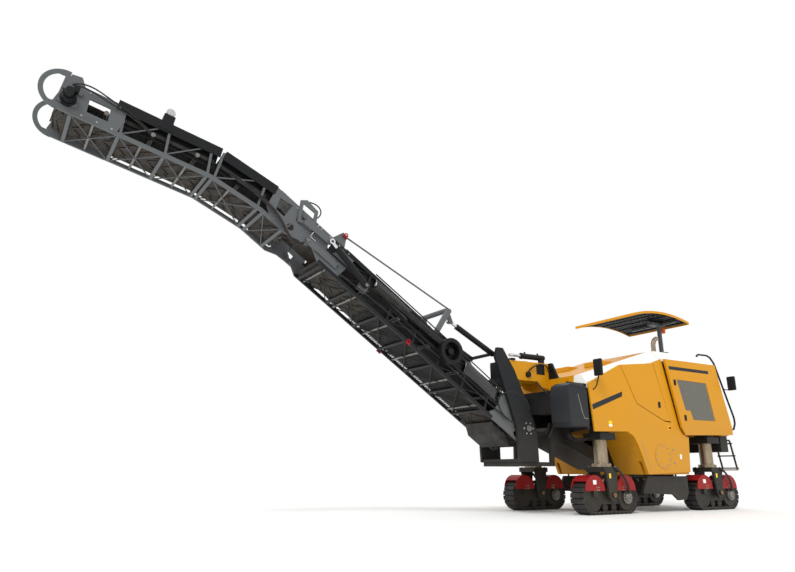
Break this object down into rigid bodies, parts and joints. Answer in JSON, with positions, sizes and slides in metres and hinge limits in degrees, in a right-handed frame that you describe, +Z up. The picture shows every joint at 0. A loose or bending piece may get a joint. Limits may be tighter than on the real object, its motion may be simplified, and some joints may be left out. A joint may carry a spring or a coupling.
{
  "type": "cold planer milling machine",
  "caption": "Tracked cold planer with four lifting legs, a milling drum under the frame, an operator platform with canopy and a front loading conveyor that slews, lifts and folds.",
  "frame": {"origin": "centre of the whole machine's footprint box on the ground, conveyor tip to rear ladder", "axes": "+X forward along the conveyor, +Y to the machine's left, +Z up"},
  "size_m": [13.3845, 2.68, 5.8272],
  "materials": {
    "belt_rubber": "moulded, dusty",
    "black_paint": "satin black paint",
    "black_rubber": "moulded",
    "chrome_rod": "polished",
    "column_steel": "machined and oiled",
    "drum_iron": "worn",
    "grey_paint": "satin grey paint",
    "seat_fabric": "woven",
    "slate_paint": "satin slate paint",
    "white_paint": "semi-gloss white paint",
    "yellow_paint": "semi-gloss yellow paint"
  },
  "bodies": {
    "machine": {"control_console": "slate_paint", "drum_housing": "yellow_paint", "engine_block": "grey_paint", "exhaust_pipe": "column_steel", "front_bulkhead": "black_paint", "front_hood": "white_paint", "left_front_cover": "slate_paint", "left_side_panel": "yellow_paint", "main_frame": "black_paint", "operator_seat": "seat_fabric", "platform": "white_paint", "primary_belt": "belt_rubber", "primary_conveyor_frame": "black_paint", "rear_body": "yellow_paint", "right_front_cover": "slate_paint", "right_side_panel": "yellow_paint"},
    "conveyor_front": {"belt_front": "belt_rubber", "conveyor_cover_front": "white_paint", "conveyor_frame_front": "black_paint"},
    "conveyor_lower": {"belt_lower": "belt_rubber", "conveyor_cover_lower": "white_paint", "conveyor_frame_lower": "black_paint", "dust_fan": "black_paint", "stay_beam": "grey_paint"},
    "canopy": {"canopy_roof": "yellow_paint"},
    "fold_barrels": {"fold_cylinder_left_barrel": "black_paint", "fold_cylinder_right_barrel": "black_paint"},
    "fold_rods": {"fold_cylinder_left_rod": "chrome_rod", "fold_cylinder_right_rod": "chrome_rod"},
    "track_unit_front_left": {"fork_front_left": "black_paint", "track_front_left": "black_rubber"},
    "track_unit_front_right": {"fork_front_right": "black_paint", "track_front_right": "black_rubber"},
    "track_unit_rear_left": {"fork_rear_left": "black_paint", "track_rear_left": "black_rubber"},
    "track_unit_rear_right": {"fork_rear_right": "black_paint", "track_rear_right": "black_rubber"},
    "left_rear_hood": {"left_rear_hood": "yellow_paint"},
    "left_service_door": {"left_service_door": "yellow_paint"},
    "leg_front_left": {"leg_column_front_left": "column_steel"},
    "leg_front_right": {"leg_column_front_right": "column_steel"},
    "leg_rear_left": {"leg_column_rear_left": "column_steel"},
    "leg_rear_right": {"leg_column_rear_right": "column_steel"},
    "luff_barrels": {"luff_cylinder_left_barrel": "black_paint", "luff_cylinder_right_barrel": "black_paint"},
    "luff_rods": {"luff_cylinder_left_rod": "chrome_rod", "luff_cylinder_right_rod": "chrome_rod"},
    "milling_drum": {"milling_drum": "drum_iron"},
    "right_rear_hood": {"right_rear_hood": "yellow_paint"},
    "right_service_door": {"right_service_door": "yellow_paint"},
    "scraper": {"scraper_blade": "black_paint"},
    "side_plate_left": {"side_plate_left": "black_paint"},
    "side_plate_right": {"side_plate_right": "black_paint"},
    "slew_bracket": {"slew_bracket": "grey_paint"},
    "slew_rod": {"slew_cylinder_rod": "chrome_rod"}
  },
  "joints": [
    {"name": "lift_front_left", "type": "slide", "parent": "machine", "child": "leg_front_left", "axis": [0, 0, 1], "range_m": [0, 0.33]},
    {"name": "steer_front_left", "type": "hinge", "parent": "leg_front_left", "child": "track_unit_front_left", "pos_m": [-2.835, 0.833, 0.79], "axis": [0, 0, 1], "range_deg": [-25, 25]},
    {"name": "lift_front_right", "type": "slide", "parent": "machine", "child": "leg_front_right", "axis": [0, 0, 1], "range_m": [0, 0.33]},
    {"name": "steer_front_right", "type": "hinge", "parent": "leg_front_right", "child": "track_unit_front_right", "pos_m": [-2.835, -0.833, 0.79], "axis": [0, 0, 1], "range_deg": [-25, 25]},
    {"name": "lift_rear_left", "type": "slide", "parent": "machine", "child": "leg_rear_left", "axis": [0, 0, 1], "range_m": [0, 0.33]},
    {"name": "steer_rear_left", "type": "hinge", "parent": "leg_rear_left", "child": "track_unit_rear_left", "pos_m": [-5.865, 0.833, 0.79], "axis": [0, 0, 1], "range_deg": [-25, 25]},
    {"name": "lift_rear_right", "type": "slide", "parent": "machine", "child": "leg_rear_right", "axis": [0, 0, 1], "range_m": [0, 0.33]},
    {"name": "steer_rear_right", "type": "hinge", "parent": "leg_rear_right", "child": "track_unit_rear_right", "pos_m": [-5.865, -0.833, 0.79], "axis": [0, 0, 1], "range_deg": [-25, 25]},
    {"name": "drum_spin", "type": "hinge", "parent": "machine", "child": "milling_drum", "pos_m": [-4.205, 0, 0.98], "axis": [0, 1, 0], "continuous": true},
    {"name": "scraper_hinge", "type": "hinge", "parent": "machine", "child": "scraper", "pos_m": [-4.985, 0, 1.19], "axis": [0, 1, 0], "range_deg": [0, 8]},
    {"name": "side_plate_lift_left", "type": "slide", "parent": "machine", "child": "side_plate_left", "axis": [0, 0, 1], "range_m": [0, 0.25]},
    {"name": "side_plate_lift_right", "type": "slide", "parent": "machine", "child": "side_plate_right", "axis": [0, 0, 1], "range_m": [0, 0.25]},
    {"name": "left_door_hinge", "type": "hinge", "parent": "machine", "child": "left_service_door", "pos_m": [-4.3775, 1.09, 2.155], "axis": [0.2968, 0, 0.9549], "range_deg": [0, 90]},
    {"name": "right_door_hinge", "type": "hinge", "parent": "machine", "child": "right_service_door", "pos_m": [-4.3775, -1.09, 2.155], "axis": [-0.2968, 0, -0.9549], "range_deg": [0, 90]},
    {"name": "left_hood_hinge", "type": "hinge", "parent": "machine", "child": "left_rear_hood", "pos_m": [-5.255, 1.15, 2.8], "axis": [1, 0, 0], "range_deg": [0, 75]},
    {"name": "right_hood_hinge", "type": "hinge", "parent": "machine", "child": "right_rear_hood", "pos_m": [-5.255, -1.15, 2.8], "axis": [-1, 0, 0], "range_deg": [0, 75]},
    {"name": "canopy_lift", "type": "slide", "parent": "machine", "child": "canopy", "axis": [0, 0, 1], "range_m": [-0.42, 0]},
    {"name": "conveyor_slew", "type": "hinge", "parent": "machine", "child": "slew_bracket", "pos_m": [-1.475, 0, 2.31], "axis": [0, 0, 1], "range_deg": [-60, 60]},
    {"name": "slew_cylinder_slide", "type": "slide", "parent": "machine", "child": "slew_rod", "axis": [1, 0, 0], "range_m": [-0.18, 0.18]},
    {"name": "conveyor_luff", "type": "hinge", "parent": "slew_bracket", "child": "conveyor_lower", "pos_m": [-1.475, 0, 1.43], "axis": [0, -1, 0], "range_deg": [-26, 4]},
    {"name": "luff_cylinder_pivot", "type": "hinge", "parent": "slew_bracket", "child": "luff_barrels", "pos_m": [-0.935, 0, 2.71], "axis": [0, -1, 0], "range_deg": [-41, 7]},
    {"name": "luff_cylinder_slide", "type": "slide", "parent": "luff_barrels", "child": "luff_rods", "axis": [0.8886, 0, 0.4586], "range_m": [-0.085, 0.54]},
    {"name": "conveyor_fold", "type": "hinge", "parent": "conveyor_lower", "child": "conveyor_front", "pos_m": [2.75015, 0, 4.10741], "axis": [0, 1, 0], "range_deg": [0, 120]},
    {"name": "fold_cylinder_pivot", "type": "hinge", "parent": "conveyor_lower", "child": "fold_barrels", "pos_m": [1.78542, 0, 3.50976], "axis": [0, 1, 0], "range_deg": [0, 8]},
    {"name": "fold_cylinder_slide", "type": "slide", "parent": "fold_barrels", "child": "fold_rods", "axis": [0.7005, 0, 0.7137], "range_m": [0, 0.63]}
  ],
  "couplings": [
    {"joint": "steer_front_right", "follows": "steer_front_left", "ratio": 1},
    {"joint": "steer_rear_right", "follows": "steer_rear_left", "ratio": 1},
    {"joint": "slew_cylinder_slide", "follows": "conveyor_slew", "m_per_rad": -0.163},
    {"joint": "luff_cylinder_pivot", "follows": "conveyor_luff", "ratio": 1.55},
    {"joint": "luff_cylinder_slide", "follows": "conveyor_luff", "m_per_rad": -1.17},
    {"joint": "fold_cylinder_pivot", "follows": "conveyor_fold", "ratio": 0.0617},
    {"joint": "fold_cylinder_slide", "follows": "conveyor_fold", "m_per_rad": 0.295}
  ]
}
